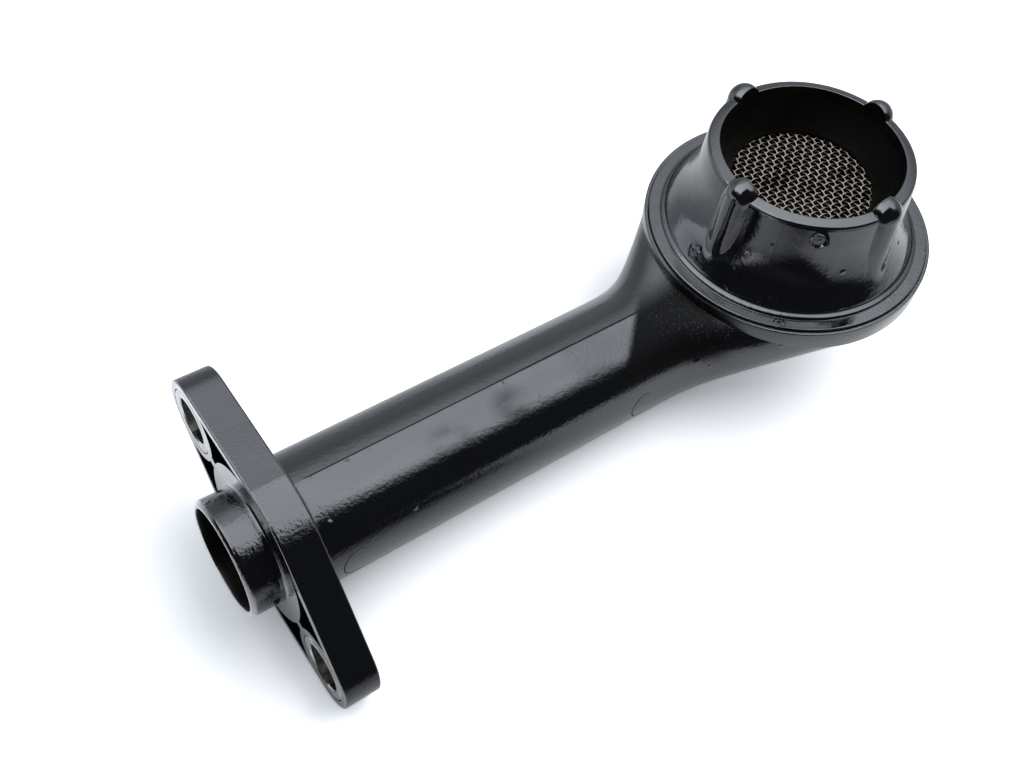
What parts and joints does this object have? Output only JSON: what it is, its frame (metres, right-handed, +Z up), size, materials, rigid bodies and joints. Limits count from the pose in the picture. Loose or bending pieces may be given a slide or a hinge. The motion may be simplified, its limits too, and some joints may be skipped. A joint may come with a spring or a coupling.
{
  "type": "oil pickup tube",
  "caption": "Moulded oil pickup tube with a bolted flange and spigot at one end and a round strainer head with woven wire mesh at the other.",
  "frame": {"origin": "centre of the spigot on the flange's mating face", "axes": "+X along the tube from the flange to the strainer head, +Z up on the side the strainer opens to"},
  "size_m": [0.1506, 0.0578, 0.0566],
  "materials": {
    "black_plastic": "glossy moulded plastic with a film of oil",
    "mesh_wire": "plain steel wire, oil stained",
    "sleeve_steel": "plated steel"
  },
  "bodies": {
    "root": {"pickup_tube": "black_plastic", "strainer_collar": "black_plastic", "strainer_mesh": "mesh_wire", "bolt_sleeve_upper": "sleeve_steel", "bolt_sleeve_lower": "sleeve_steel"}
  },
  "joints": []
}
